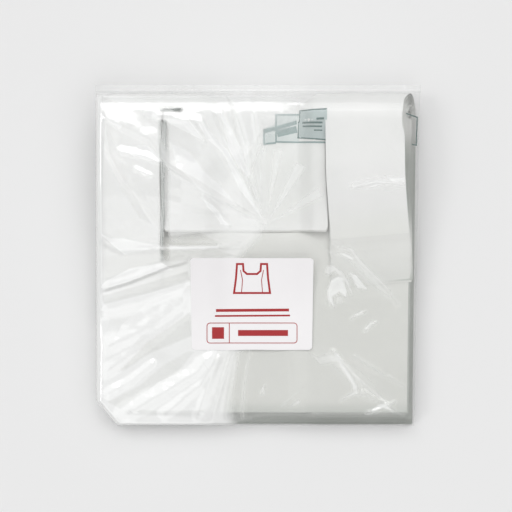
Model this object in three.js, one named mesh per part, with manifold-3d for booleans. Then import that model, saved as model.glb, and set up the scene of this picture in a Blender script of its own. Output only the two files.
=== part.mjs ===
// A retail pack of thin vest carrier bags, lying on its back. Millimetres, +Z up.
// The bags are stacked, folded once so that their handles lie over the front, and slipped into a
// clear film bag that carries a paper label.
// X runs across the bags, Y along them towards the fold, and Z through the pack.
import * as THREE from "three";
import { mergeVertices } from "three/addons/utils/BufferGeometryUtils.js";
import Module from "manifold-3d";

// One carrier bag, pressed flat
const bagWidth = 220;
const bagLength = 380;
const gussetDepth = 75; // each side's gusset, folded in between the two faces
const sheet = 0.6; // a single bag pressed flat, drawn thicker than its film

// The stack, measured through one leaf of the fold
const sideThickness = 18; // four layers of film in each bag
const middleThickness = 10; // two layers, between the gussets' inner folds
const gussetSpread = 9; // how far either way the gussets' inner folds are out of line
const foldSlit = 0.3; // between the two leaves of the innermost bag
const clear = 0.3; // between any two pieces that lie on each other

// The folded stack, and how far its bags have slid out of square
const stackLength = 245.5; // from the fold to the foot
const footSlope = 9.5; // the upper bags end this far short of the lowest one
const footCorner = 16; // the crushed corner at the foot's left
const slideX = 3;
const leanPerZ = 0.25; // each bag lies a little left of the one under it
const leanPerY = 0.0227; // and the lower leaf is not quite square to its foot
const leanHeight = 10; // the height that the sideways places are given at
const handleSwing = 5.2; // how far right of square the handles' innermost tips have swung

// The punched mouth: two handles with a tab between them, parted by slits
const punchWidth = 119;
const punchShift = -8.5; // the punch is off the bag's centre
const slitWidth = 1.6;
const foldToSlit = 13.5;
const mouthSlit = 15; // each slit turns inwards along the mouth by this
const foldToTabPress = 32.5; // the tab is pressed down from here
const foldToTabEnd = 101.5;
const tabCorner = 5;
const tabThickness = 9; // the tab's layers, pressed down between the handles
const tipSlant = 0.08; // the handles' tips run askew by this slope
const ruffle = 0.4; // share of the inner bags' extra length that is ruffled up in the fold

// The clear film bag
const film = 0.5; // drawn thicker than the real 0.05
const spareWidth = 21; // wider than one bag by this
const mouthLength = 6; // the flat open mouth, past the fold
const footSeal = 1.5; // the seal, past the stack's foot
const rightTaper = 6; // the film's right edge comes in by this at the foot
const cutCornerX = 16; // the film's corner folded away at the foot's left
const cutCornerY = 19;
const wallRoll = 5; // how far in from the film's edge its front is at full height
const bridging = 0.55; // share of the hollow between the gussets that the film spans
const overTab = 2.4; // the film's height over the tab, where it dips the most
const sagInset = 10; // from each slit
const tentLength = 49; // past the innermost tips, where the film comes down on the lower leaf
const mouthGap = 0.4;

// The label
const labelWidth = 90;
const labelHeight = 68;
const labelCorner = 2;
const labelThickness = 0.3;
const labelX = -4.5;
const labelY = -35.5;

// How finely curved pieces are cut
const foldSteps = 12;
const spreadSteps = 4;
const wallSteps = 5;
const frontSteps = 22;

const wasm = await Module();
wasm.setup();

const { smoothstep, lerp, clamp } = THREE.MathUtils;

// Solid from a closed geometry, and the way back
function solid(geometry) {
  const merged = mergeVertices(geometry, 1e-4);
  return new wasm.Manifold(new wasm.Mesh({
    numProp: 3,
    vertProperties: merged.attributes.position.array,
    triVerts: new Uint32Array(merged.index.array),
  }));
}

function geometryOf(made) {
  const mesh = made.getMesh();
  const geometry = new THREE.BufferGeometry();
  geometry.setAttribute("position", new THREE.BufferAttribute(mesh.vertProperties, 3));
  geometry.setIndex(new THREE.BufferAttribute(mesh.triVerts, 1));
  geometry.computeVertexNormals();
  return geometry;
}

// A solid through equal rings of points. flat lays a ring out on the plane whose normal
// points from the first ring to the last.
function loft(rings, flat) {
  const ordered = THREE.ShapeUtils.isClockWise(rings[0].map(flat))
    ? rings.map((ring) => ring.toReversed())
    : rings;
  const count = ordered[0].length;
  const points = ordered.flat();
  const faces = [];
  for (let r = 0; r + 1 < ordered.length; r++) {
    for (let i = 0; i < count; i++) {
      const a = r * count + i;
      const b = r * count + ((i + 1) % count);
      const [c, d] = [a + count, b + count];
      const alongBC = points[b].distanceTo(points[c]) < points[a].distanceTo(points[d]);
      if (alongBC) faces.push(a, b, c, b, d, c);
      else faces.push(a, b, d, a, d, c);
    }
  }
  const last = (ordered.length - 1) * count;
  for (const [a, b, c] of THREE.ShapeUtils.triangulateShape(ordered[0].map(flat), [])) {
    faces.push(a, c, b);
  }
  for (const [a, b, c] of THREE.ShapeUtils.triangulateShape(ordered.at(-1).map(flat), [])) {
    faces.push(last + a, last + b, last + c);
  }
  const geometry = new THREE.BufferGeometry().setFromPoints(points);
  geometry.setIndex(faces);
  return solid(geometry);
}

const acrossPlane = (p) => new THREE.Vector2(p.y, p.z);
const alongPlane = (p) => new THREE.Vector2(p.z, p.x);

// A plan outline, taken up through the whole pack from one height
function prism(shape, from = -1) {
  const depth = 200;
  const geometry = new THREE.ExtrudeGeometry(shape, { depth, bevelEnabled: false, curveSegments: 8 });
  geometry.deleteAttribute("normal");
  geometry.deleteAttribute("uv");
  geometry.translate(0, 0, from);
  return solid(geometry);
}

// The pack's outline, and the places along it
const packWidth = bagWidth + spareWidth;
const packLength = stackLength + mouthLength + footSeal;
const halfWidth = packWidth / 2;
const halfLength = packLength / 2;
const foldEnd = halfLength - mouthLength;
const footEnd = footSeal - halfLength;
const slitTop = foldEnd - foldToSlit;
const tabStart = foldEnd - foldToTabPress;
const tabEnd = foldEnd - foldToTabEnd;

// One leaf's thickness: thin between the gussets, thick over them
const sideX = bagWidth / 2;
const gussetFold = sideX - gussetDepth;

function leafThickness(x) {
  const along = (Math.abs(x) - gussetFold + gussetSpread) / (2 * gussetSpread);
  const place = clamp(along, 0, 1) * spreadSteps;
  const step = Math.min(Math.floor(place), spreadSteps - 1);
  const eased = (i) => smoothstep(i, 0, spreadSteps);
  const share = lerp(eased(step), eased(step + 1), place - step);
  return lerp(middleThickness, sideThickness, share);
}

// The layers of the fold, each from one distance to another off the fold's middle plane.
// A leaf is the thickness at the place in question, on the lower leaf or the flap.
const innerBag = { from: () => foldSlit / 2, to: () => foldSlit / 2 + sheet };
const stack = { from: () => innerBag.to() + clear, to: (leaf) => innerBag.to() + clear + leaf };
const outerBag = { from: (leaf) => stack.to(leaf) + clear, to: (leaf) => stack.to(leaf) + clear + sheet };

const stackBase = film + clear;
const outerReach = (x) => outerBag.to(leafThickness(x));
const middleZ = (x) => stackBase + outerReach(x);
const sideReach = outerReach(sideX);
const tabReach = outerBag.to(tabThickness);
const foldCentreY = foldEnd - sideReach;

// Each piece of the stack is made square and then leans, and the handles swing to the right
const lean = new THREE.Matrix4().set(
  1, leanPerY, -leanPerZ, slideX + leanPerZ * leanHeight,
  0, 1, 0, 0,
  0, 0, 1, 0,
  0, 0, 0, 1,
);

function leanAt(y, z) {
  return slideX + leanPerY * y + leanPerZ * (leanHeight - z);
}

function swingAt(y) {
  return (handleSwing * Math.max(0, foldCentreY - y)) / (foldCentreY - tipAt(0, 0));
}

// Stations across the bags, close together where the thickness changes
function stationsAcross() {
  const spread = [];
  for (let i = 0; i <= spreadSteps; i++) {
    spread.push(gussetFold + gussetSpread * (-1 + (2 * i) / spreadSteps));
  }
  const edge = sideX + handleSwing;
  return [-edge, ...spread.map((x) => -x).reverse(), ...spread, edge];
}

// Where a bag starts and ends: every bag is as long as the next, so the deeper it lies in the
// fold the further its handles reach
function footAt(x, off) {
  return footEnd + footSlope * (1 - off / outerReach(x));
}

const outerTip = foldCentreY - (bagLength - (foldCentreY - footEnd) - Math.PI * sideReach);

function tipAt(x, off) {
  return outerTip - Math.PI * (sideReach - off) * (1 - ruffle) + tipSlant * x;
}

// A layer's section across the fold at one x: up one leaf, round the fold and back along the flap,
// which is pressed down to a lower height past the fold if flapLeaf says so
function foldSection(layer, x, flapLeaf) {
  const z = middleZ(x);
  const lower = leafThickness(x);
  const upper = flapLeaf(x);
  const near = layer.from(lower);
  const far = layer.to(lower);
  const nearUp = layer.from(upper);
  const farUp = layer.to(upper);
  const at = (y, off) => new THREE.Vector3(x, y, z + off);
  const turned = (radius, i) => {
    const turn = Math.PI * (i / foldSteps - 0.5);
    return at(foldCentreY + radius * Math.cos(turn), radius * Math.sin(turn));
  };
  const points = [at(footAt(x, far), -far)];
  for (let i = 0; i <= foldSteps; i++) points.push(turned(far, i));
  points.push(at(tabStart, farUp), at(tipAt(x, farUp), farUp));
  points.push(at(tipAt(x, nearUp), nearUp), at(tabStart, nearUp));
  for (let i = foldSteps; i >= 0; i--) points.push(turned(near, i));
  points.push(at(footAt(x, near), -near));
  return points;
}

// The punch's plan outlines. A slit runs down beside each handle from the fold, and turns inwards
// along the mouth at its top.
const halfSlit = slitWidth / 2;
const slitLeft = punchShift - punchWidth / 2;
const slitRight = punchShift + punchWidth / 2;

function handlesOutline() {
  const past = -bagLength;
  const swing = swingAt(past);
  const points = [
    [sideX, foldEnd * 2], [-sideX, foldEnd * 2], [-sideX, foldCentreY], [-sideX + swing, past],
    [slitLeft - halfSlit + swing, past], [slitLeft - halfSlit, foldCentreY],
    [slitLeft - halfSlit, slitTop + halfSlit], [slitLeft + mouthSlit, slitTop + halfSlit],
    [slitLeft + mouthSlit, slitTop - halfSlit], [slitRight - mouthSlit, slitTop - halfSlit],
    [slitRight - mouthSlit, slitTop + halfSlit], [slitRight + halfSlit, slitTop + halfSlit],
    [slitRight + halfSlit, foldCentreY], [slitRight + halfSlit + swing, past],
    [sideX + swing, past], [sideX, foldCentreY],
  ];
  return new THREE.Shape(points.map(([x, y]) => new THREE.Vector2(x, y)));
}

function tabOutline() {
  const left = slitLeft + halfSlit + swingAt(tabEnd);
  const right = slitRight - halfSlit;
  const top = slitTop - halfSlit;
  const shape = new THREE.Shape();
  shape.moveTo(right, top);
  shape.lineTo(left, top);
  shape.absarc(left + tabCorner, tabEnd + tabCorner, tabCorner, Math.PI, Math.PI * 1.5);
  shape.absarc(right - tabCorner, tabEnd + tabCorner, tabCorner, -Math.PI / 2, 0);
  return shape;
}

// Everything above the fold's middle plane
function aboveTheFold() {
  const reach = bagLength;
  const rings = stationsAcross().map((x) => [[-reach, 0], [reach, 0], [reach, 90], [-reach, 90]].map(
    ([y, z]) => new THREE.Vector3(x, y, middleZ(x) + z),
  ));
  return loft(rings, acrossPlane);
}

// The lower leaf's plan outline, with the foot's left corner crushed in
function leafOutline() {
  const points = [
    [-sideX, foldEnd + 1], [-sideX, footEnd + footCorner], [-sideX + footCorner, footEnd],
    [-sideX + footCorner, footEnd - 1], [sideX, footEnd - 1], [sideX, foldEnd + 1],
  ];
  return new THREE.Shape(points.map(([x, y]) => new THREE.Vector2(x, y)));
}

const aboveFold = aboveTheFold();
const leafPrism = prism(leafOutline());
const handlesPrism = prism(handlesOutline());
const tabPrism = prism(tabOutline());

// One layer of the folded stack: its lower leaf, its handles and its tab
function foldedLayer(layer) {
  const folded = (flapLeaf) => loft(
    stationsAcross().map((x) => foldSection(layer, x, flapLeaf)),
    acrossPlane,
  );
  const whole = folded(leafThickness);
  const pressed = folded((x) => Math.min(tabThickness, leafThickness(x)));
  const lower = whole.subtract(aboveFold).intersect(leafPrism);
  const handles = whole.intersect(aboveFold).intersect(handlesPrism);
  const tab = pressed.intersect(aboveFold).intersect(tabPrism);
  return lower.add(handles).add(tab).transform(lean.elements);
}

// The underside of the film's front sheet: over the lower leaf, and over the flap on top of it
function filmUnder(x, y) {
  const flap = smoothstep(y - tipSlant * x, tipAt(0, 0) - tentLength, outerTip);
  const own = x - leanAt(y, sideReach * (1 + flap)) - swingAt(y) * flap;
  const full = smoothstep(Math.abs(own), gussetFold - gussetSpread - 6, gussetFold + gussetSpread - 4);
  const hollow = (1 - bridging) * (sideThickness - middleThickness);
  const lower = sideReach - hollow * (1 - full);
  const across = clamp((own - punchShift) / (punchWidth / 2 - sagInset), -1, 1);
  const deepest = 2 * sideReach - hollow - outerReach(0) - tabReach - overTab;
  const dip = deepest * (1 - smoothstep(y, tabStart - 35, tabStart - 5));
  const upper = sideReach - dip * (1 - across ** 2) ** 2;
  return stackBase + clear + lower + upper * flap;
}

const leftEdge = (y) => -halfWidth + cutCornerX * Math.max(0, (cutCornerY - halfLength - y) / cutCornerY);
const rightEdge = (y) => halfWidth - (rightTaper * (halfLength - y)) / packLength;
const foldReach = foldEnd + clear + film;
const mouthZ = middleZ(sideX);

// A section across the film bag at one y, drawn inset from the film's outer face
function filmSection(y, inset) {
  const wall = film - inset;
  const lip = mouthGap / 2 + wall;
  const along = clamp((y - foldCentreY) / (foldReach - inset - foldCentreY), 0, 1);
  const round = Math.sqrt(1 - along * along);
  const rise = Math.sqrt(smoothstep(y - inset, footEnd - clear - film, footEnd + footSlope - 2));
  const under = lerp(mouthZ - lip, inset, round);
  const left = leftEdge(y) + inset;
  const right = rightEdge(y) - inset;
  const front = (x) => {
    const over = filmUnder(x, y) + wall;
    const rounded = lerp(mouthZ + lip, over, round);
    return under + Math.max(lip * 2, (rounded - under) * rise);
  };
  const points = [];
  for (const share of [0, 1 / 3, 2 / 3]) {
    points.push(new THREE.Vector3(lerp(left, right, share), y, under));
  }
  const wallAt = (edge, inwards, i) => {
    const turn = (Math.PI / 2) * (i / wallSteps);
    const x = edge + inwards * wallRoll * (1 - Math.cos(turn) ** 0.8);
    points.push(new THREE.Vector3(x, y, lerp(under, front(x), Math.sin(turn) ** 0.6)));
  };
  for (let i = 0; i < wallSteps; i++) wallAt(right, -1, i);
  for (let i = 0; i <= frontSteps; i++) {
    const x = lerp(right - wallRoll, left + wallRoll, i / frontSteps);
    points.push(new THREE.Vector3(x, y, front(x)));
  }
  for (let i = wallSteps - 1; i > 0; i--) wallAt(left, 1, i);
  return points;
}

// Stations along the film bag, close together at the foot and round the fold
function stationsAlong(first, last) {
  const foot = [0.2, 0.6, 1.4, 2.8, 5, 9].map((d) => footEnd - clear - film + d);
  const fold = [];
  for (let i = 0; i <= 8; i++) {
    fold.push(foldCentreY + (foldReach - foldCentreY) * Math.sin((Math.PI / 2) * (i / 8)));
  }
  const between = [];
  for (let i = 1; i < 16; i++) between.push(lerp(foot.at(-1), fold[0], i / 16));
  return [first, ...foot, ...between, ...fold, last];
}

function filmBody(first, last, inset) {
  return loft(stationsAlong(first, last).map((y) => filmSection(y, inset)), alongPlane);
}

function filmBag() {
  const outside = filmBody(-halfLength, halfLength, 0);
  return outside.subtract(filmBody(-halfLength + film, halfLength + 1, film));
}

function roundedRectangle(cx, cy, width, height, radius) {
  const [x0, x1] = [cx - width / 2 + radius, cx + width / 2 - radius];
  const [y0, y1] = [cy - height / 2 + radius, cy + height / 2 - radius];
  const shape = new THREE.Shape();
  shape.absarc(x1, y0, radius, -Math.PI / 2, 0);
  shape.absarc(x1, y1, radius, 0, Math.PI / 2);
  shape.absarc(x0, y1, radius, Math.PI / 2, Math.PI);
  shape.absarc(x0, y0, radius, Math.PI, Math.PI * 1.5);
  return shape;
}

// The label follows the film's front: a layer over it, cut to the label's outline
function labelSolid() {
  const over = (inset) => filmBody(-halfLength, halfLength, inset);
  const layer = over(-clear - labelThickness).subtract(over(-clear));
  const outline = roundedRectangle(labelX, labelY, labelWidth, labelHeight, labelCorner);
  return layer.intersect(prism(outline, stackBase + middleThickness));
}

const clearFilm = new THREE.MeshStandardMaterial({
  color: 0xf4f6f6, roughness: 0.12, metalness: 0, transparent: true, opacity: 0.3,
});
const milkyFilm = new THREE.MeshStandardMaterial({ color: 0xe6e8e4, roughness: 0.45, metalness: 0 });
const whitePaper = new THREE.MeshStandardMaterial({ color: 0xf3f1f2, roughness: 0.6, metalness: 0 });

const pack = new THREE.Group();

function addPiece(name, made, material) {
  const mesh = new THREE.Mesh(geometryOf(made), material);
  mesh.name = name;
  pack.add(mesh);
}

addPiece("overwrap_bag", filmBag(), clearFilm);
addPiece("outer_carrier_bag", foldedLayer(outerBag), milkyFilm);
addPiece("carrier_bag_stack", foldedLayer(stack), milkyFilm);
addPiece("inner_carrier_bag", foldedLayer(innerBag), milkyFilm);
addPiece("label", labelSolid(), whitePaper);

export default pack;
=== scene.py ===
import math

import bmesh
import bpy
import numpy as np
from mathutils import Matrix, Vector


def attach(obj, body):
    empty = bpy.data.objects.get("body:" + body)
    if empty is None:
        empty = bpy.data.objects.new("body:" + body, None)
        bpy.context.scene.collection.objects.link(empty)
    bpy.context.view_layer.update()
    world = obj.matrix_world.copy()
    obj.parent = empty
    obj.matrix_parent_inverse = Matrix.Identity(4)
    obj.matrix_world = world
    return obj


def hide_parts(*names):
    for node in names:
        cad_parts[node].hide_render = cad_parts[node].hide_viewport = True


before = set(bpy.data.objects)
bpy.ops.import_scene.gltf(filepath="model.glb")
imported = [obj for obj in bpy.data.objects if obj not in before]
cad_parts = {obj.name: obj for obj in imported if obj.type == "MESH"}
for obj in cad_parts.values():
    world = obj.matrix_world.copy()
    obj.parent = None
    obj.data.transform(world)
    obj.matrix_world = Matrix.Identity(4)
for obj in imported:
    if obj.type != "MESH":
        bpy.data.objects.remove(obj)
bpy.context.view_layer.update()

# The stack of carrier bags: thin milky film, vest shape, pressed flat and folded once so that
# the handles lie over the front. Each bag is its own sheet round the fold, cut by the same
# punch, and lies a little left of the one under it. Sizes are in millimetres.
SIDE_LEAF, MIDDLE_LEAF = 18.0, 10.0
GUSSET_FOLD, GUSSET_SPREAD = 35.0, 9.0
BAG_HALF_WIDTH, BAG_LENGTH = 110.0, 380.0
INNER_OFF, STACK_OFF, OUTER_OFF = 0.45, 1.05, 1.65  # each bag's film, off the middle of the fold
AROUND_LEAF, UNDERSIDE = 1.95, 0.8  # room for the other films round the leaf, and under the pack
SIDE_REACH = SIDE_LEAF + AROUND_LEAF
FOLD_END = 120.5
FOLD_CENTRE_Y = FOLD_END - SIDE_REACH
FOOT_END, FOOT_SLOPE, CRUSHED_CORNER = -125.0, 9.5, 16.0
OUTER_TIP = FOLD_CENTRE_Y - (BAG_LENGTH - (FOLD_CENTRE_Y - FOOT_END) - math.pi * SIDE_REACH)
TIP_SET_BACK, TIP_SKEW = 0.6, 0.08  # pressed ends are set back by less than equal lengths give
LEAN, LEAN_ALONG, LEAN_UP, LEAN_LEVEL = 4.1, 0.012, 0.25, 10
SLIT_LEFT, SLIT_RIGHT, SLIT_TOP, HALF_SLIT = -68.0, 51.0, 107.0, 0.8
MOUTH_SLIT, MOUTH_HALF_SLIT = 15.0, 2.0
HANDLE_SWING, LEFT_SPLAY, RIGHT_SPLAY, HANDLE_PRESSED, SETTLES_BY = 5.2, -0.75, 0.5, 0.8, 0.5
TAB_START, TAB_END, TAB_LEAF, TAB_CORNER, TAB_PRESSED = 88.0, 19.0, 9.0, 1.5, 0.55
TAB_SIDE_WIDER, TAB_RIGHT_REACH = 0.4, 0.9
TAB_MIDDLE = (SLIT_LEFT + SLIT_RIGHT) / 2
CORNER_DRAWN_IN = 1.8  # at the right end of the fold
BAGS_IN_STACK, BAGS_HELD_BY_WRAP = 26, 6

chance = np.random.default_rng(7)


def eased(value, low, high):
    share = np.clip((value - low) / (high - low), 0.0, 1.0)
    return share * share * (3 - 2 * share)


def leaf_at(x):
    spread = eased(np.abs(x), GUSSET_FOLD - GUSSET_SPREAD, GUSSET_FOLD + GUSSET_SPREAD)
    return MIDDLE_LEAF + (SIDE_LEAF - MIDDLE_LEAF) * spread


def middle_z(x):
    return UNDERSIDE + leaf_at(x) + AROUND_LEAF


def lean_at(y, z):
    return LEAN + LEAN_ALONG * y + LEAN_UP * (LEAN_LEVEL - z)


def tip_at(x, off):
    return OUTER_TIP - math.pi * (SIDE_REACH - off) * TIP_SET_BACK + TIP_SKEW * x


def swing_at(y):
    return HANDLE_SWING * np.maximum(0, FOLD_CENTRE_Y - y) / (FOLD_CENTRE_Y - tip_at(0, 0))


def tab_leaf(x):
    """The tab is pressed down most in its middle."""
    return TAB_LEAF + 4.5 * eased(np.abs(x - TAB_MIDDLE), 28, 56)


def handle_thins(y):
    """The handles are pressed thinner towards their ends."""
    return 1 - HANDLE_PRESSED * (1 - eased(y, 0, 70))


def foot_at(x, off):
    straight = FOOT_END + FOOT_SLOPE * (1 - off / (leaf_at(x) + AROUND_LEAF))
    crushed = FOOT_END + np.maximum(0, CRUSHED_CORNER - BAG_HALF_WIDTH - x)
    return np.maximum(straight, crushed)


def ripple(x, y, length, seed, waves=9):
    pick = np.random.default_rng(seed)
    total = 0
    for _ in range(waves):
        turn, phase = pick.uniform(0, 2 * math.pi, 2)
        size = length * pick.uniform(0.7, 1.6)
        along = (x * math.cos(turn) + y * math.sin(turn)) / size
        total = total + np.sin(2 * math.pi * along + phase)
    return total / waves


def faces_of(rows, columns, first, keep=None):
    faces = []
    for r in range(rows - 1):
        for c in range(columns - 1):
            if keep is None or keep[r, c]:
                a = first + r * columns + c
                faces.append((a, a + 1, a + columns + 1, a + columns))
    return faces


def face_middles(values):
    return (values[:-1, :-1] + values[1:, :-1] + values[:-1, 1:] + values[1:, 1:]) / 4


def round_the_fold(xs, base, share, step, slide_y, bridge):
    """One bag's lower leaf and fold, and the faces that the punch leaves."""
    x = np.array(xs, float)[None, :]
    reach = base + share * leaf_at(x)
    foot = foot_at(x, reach) + slide_y
    rows = max(4, int((FOLD_CENTRE_Y - FOOT_END) / step))
    up = (np.arange(rows) / rows)[:, None]
    turns = max(9, int(math.pi * SIDE_REACH / step))
    angle = np.linspace(-math.pi / 2, math.pi / 2, turns)[:, None]
    y = np.vstack([foot + (FOLD_CENTRE_Y - foot) * up, FOLD_CENTRE_Y + reach * np.cos(angle)])
    z = np.vstack([middle_z(x) - reach + 0 * up, middle_z(x) + reach * np.sin(angle)])
    x = x + 0 * y
    wide, along = face_middles(x), face_middles(y)
    in_slit = (np.abs(wide - SLIT_LEFT) < HALF_SLIT) | (np.abs(wide - SLIT_RIGHT) < HALF_SLIT)
    in_mouth = (wide > SLIT_LEFT) & (wide < SLIT_LEFT + MOUTH_SLIT)
    punched = (in_slit & (along < SLIT_TOP)) | (in_mouth & (np.abs(along - SLIT_TOP) < MOUTH_HALF_SLIT))
    kept = ~(punched & (face_middles(z) > face_middles(middle_z(x))))
    if bridge is not None:
        z = z + bridge(x, y) * (z < middle_z(x))
    return x, y, z, kept


def strip_of(xs, low, top):
    return np.array([v for v in xs if low - 1e-6 <= v <= top + 1e-6])[None, :]


def rows_down_to(end, step):
    rows = max(6, int((FOLD_CENTRE_Y - end.mean()) / step))
    return FOLD_CENTRE_Y + (end - FOLD_CENTRE_Y) * np.linspace(0, 1, rows)[:, None]


def on_the_front(strip, y, leaf, base, share, thins):
    """How high a handle or tab lies. Towards their ends they settle on the front."""
    settled = INNER_OFF - SETTLES_BY * (1 - eased(y, -30, 10))
    return middle_z(strip) + settled + (base - INNER_OFF + share * leaf) * thins


def handle(strip, base, share, step, slide_y, splay):
    y = rows_down_to(tip_at(strip, base + share * leaf_at(strip)) + slide_y, step)
    z = on_the_front(strip, y, leaf_at(strip), base, share, handle_thins(y))
    return strip + 0 * y, y, z, splay * swing_at(y)


def tab(strip, base, share, step, slide_y):
    """The tab has round lower corners, and its sides reach out to the handles."""
    end = TAB_END + slide_y + 0 * strip
    y = rows_down_to(end, step)
    pressed = np.clip((FOLD_CENTRE_Y - y) / (FOLD_CENTRE_Y - TAB_START), 0, 1)
    leaf = leaf_at(strip) + (np.minimum(tab_leaf(strip), leaf_at(strip)) - leaf_at(strip)) * pressed
    near = np.clip(TAB_CORNER - (y - end), 0, TAB_CORNER)
    inset = TAB_CORNER - np.sqrt(TAB_CORNER**2 - near**2)
    low, top = strip[0, 0], strip[0, -1]
    left = low - TAB_SIDE_WIDER * pressed + LEFT_SPLAY * swing_at(y) + inset
    right = top + TAB_RIGHT_REACH * RIGHT_SPLAY * swing_at(y) - inset
    x = left + (right - left) * (strip - low) / (top - low)
    z = on_the_front(strip, y, leaf, base, share, 1 - TAB_PRESSED * (1 - eased(y, 15, 75)))
    return x, y, z, 0


def folded_sheet(xs, base, share, step, slide=(0, 0), relief=None, bridge=None):
    """The points and faces of one bag: its lower leaf, the fold, the two handles and the tab."""
    slide_x, slide_y = slide
    left = strip_of(xs, -BAG_HALF_WIDTH, SLIT_LEFT - HALF_SLIT)
    middle = strip_of(xs, SLIT_LEFT + HALF_SLIT, SLIT_RIGHT - HALF_SLIT)
    right = strip_of(xs, SLIT_RIGHT + HALF_SLIT, BAG_HALF_WIDTH)
    x, y, z, kept = round_the_fold(xs, base, share, step, slide_y, bridge)
    grids = [(x, y, z, 0, kept, eased(z - middle_z(x), 0, 12))]
    for strip in (handle(left, base, share, step, slide_y, LEFT_SPLAY),
                  tab(middle, base, share, step, slide_y),
                  handle(right, base, share, step, slide_y, RIGHT_SPLAY)):
        grids.append((*strip, None, 1.0))
    points, faces, count = [], [], 0
    for x, y, z, swing, kept, top in grids:
        lift = 0 if relief is None else relief(x, y) * top
        drawn_in = eased(x, 80, 110) * eased(y, 88, 98) * eased(z - middle_z(x), 4, 14) * CORNER_DRAWN_IN
        placed = np.stack([x + lean_at(y, z) + swing + slide_x - drawn_in, y, z + lift], axis=-1)
        faces += faces_of(*placed.shape[:2], count, kept)
        points.append(placed.reshape(-1, 3))
        count += len(points[-1])
    return np.vstack(points), faces


def joined(parts):
    points, faces, count = [], [], 0
    for some, other in parts:
        points.append(some)
        faces += [tuple(v + count for v in face) for face in other]
        count += len(some)
    return np.vstack(points), faces


def mesh_piece(name, points, faces, material, weld=True):
    mesh = bpy.data.meshes.new(name)
    mesh.from_pydata((np.asarray(points) * 0.001).tolist(), [], faces)
    piece = bpy.data.objects.new(name, mesh)
    bpy.context.scene.collection.objects.link(piece)
    if weld:
        work = bmesh.new()
        work.from_mesh(mesh)
        bmesh.ops.remove_doubles(work, verts=work.verts, dist=2e-6)
        bmesh.ops.delete(work, geom=[v for v in work.verts if not v.link_faces], context="VERTS")
        bmesh.ops.recalc_face_normals(work, faces=work.faces)
        work.to_mesh(mesh)
        work.free()
    mesh.shade_smooth()
    for each in material if isinstance(material, tuple) else (material,):
        mesh.materials.append(each)
    return piece


def shell(piece, thickness, rim=0):
    made = piece.modifiers.new("Film thickness", "SOLIDIFY")
    made.thickness = thickness * 0.001
    made.offset = 0
    made.use_even_offset = False
    made.material_offset_rim = rim
    graph = bpy.context.evaluated_depsgraph_get()
    thick = bpy.data.meshes.new_from_object(piece.evaluated_get(graph))
    piece.modifiers.clear()
    piece.data = thick
    thick.shade_smooth()
    thick.set_sharp_from_angle(angle=math.radians(35))
    return piece


def ink(red, green, blue):
    """A colour as it is seen, from 0 to 255."""
    linear = [c / 255 / 12.92 if c <= 10 else ((c / 255 + 0.055) / 1.055) ** 2.4
              for c in (red, green, blue)]
    return (*linear, 1.0)


def sockets(tree, way, kind, *names):
    for name in names:
        tree.interface.new_socket(name=name, in_out=way, socket_type="NodeSocket" + kind)


def add_node(tree, kind, group=None, **values):
    """A shader node with its inputs set. An underscore in an input's name stands for a space."""
    node = tree.nodes.new("ShaderNode" + kind)
    if group:
        node.node_tree = group
    for name, value in values.items():
        node.inputs[name.replace("_", " ")].default_value = value
    return node


def math_node(tree, operation, second=None):
    node = add_node(tree, "Math")
    node.operation = operation
    if second is not None:
        node.inputs[1].default_value = second
    return node


def colour_mix(tree, first=None, second=None):
    mix = add_node(tree, "Mix")
    mix.data_type = "RGBA"
    for name, colour in (("A", first), ("B", second)):
        if colour is not None:
            mix.inputs[name].default_value = colour
    return mix


def new_finish(name, roughness):
    material = bpy.data.materials.new(name)
    material.use_nodes = True
    surface = material.node_tree.nodes["Principled BSDF"]
    surface.inputs["Roughness"].default_value = roughness
    return material, material.node_tree, surface


def milky_film_group():
    """Milky film is clouded where sheets touch or part, with fine creases from packing. Where a
    piece is marked as pressed tight it is darker, partly as painted shade, and where it is marked
    as set back it carries a painted shade of the stack's stepped edges."""
    tree = bpy.data.node_groups.new("Milky film", "ShaderNodeTree")
    sockets(tree, "INPUT", "Color", "Light", "Deep", "Pressed", "Set back")
    sockets(tree, "INPUT", "Float", "Cloud size", "Crease size")
    sockets(tree, "OUTPUT", "Color", "Color")
    sockets(tree, "OUTPUT", "Float", "Creases")
    link = tree.links.new
    given, out = tree.nodes.new("NodeGroupInput"), tree.nodes.new("NodeGroupOutput")
    place = add_node(tree, "TexCoord")
    clouds = add_node(tree, "TexNoise", Detail=3.0)
    creases = add_node(tree, "TexNoise", Detail=4.0, Distortion=1.5)
    spread = add_node(tree, "MapRange", From_Min=0.35, From_Max=0.68)
    link(place.outputs["Object"], clouds.inputs["Vector"])
    link(place.outputs["Object"], creases.inputs["Vector"])
    link(given.outputs["Cloud size"], clouds.inputs["Scale"])
    link(given.outputs["Crease size"], creases.inputs["Scale"])
    link(clouds.outputs["Fac"], spread.inputs["Value"])
    link(creases.outputs["Fac"], out.inputs["Creases"])
    shares = [spread.outputs["Result"]]
    for mark_name in ("pressed", "set_back_shade"):
        marked = add_node(tree, "Attribute")
        marked.attribute_name = mark_name
        shares.append(marked.outputs["Fac"])
    colour = given.outputs["Light"]
    for share, darker in zip(shares, ("Deep", "Pressed", "Set back")):
        mix = colour_mix(tree)
        link(share, mix.inputs["Factor"])
        link(colour, mix.inputs["A"])
        link(given.outputs[darker], mix.inputs["B"])
        colour = mix.outputs["Result"]
    link(colour, out.inputs["Color"])
    return tree


MILKY_FILM = milky_film_group()


def milky_film(name, light, deep, pressed, set_back_shade, roughness, cloud_size):
    material, tree, surface = new_finish(name, roughness)
    surface.inputs["IOR"].default_value = 1.5
    film = add_node(tree, "Group", MILKY_FILM, Light=light, Deep=deep, Pressed=pressed, Set_back=set_back_shade,
                    Cloud_size=cloud_size, Crease_size=90.0)
    bump = add_node(tree, "Bump", Strength=0.12, Distance=0.001)
    tree.links.new(film.outputs["Color"], surface.inputs["Base Color"])
    tree.links.new(film.outputs["Creases"], bump.inputs["Height"])
    tree.links.new(bump.outputs["Normal"], surface.inputs["Normal"])
    return material


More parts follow.
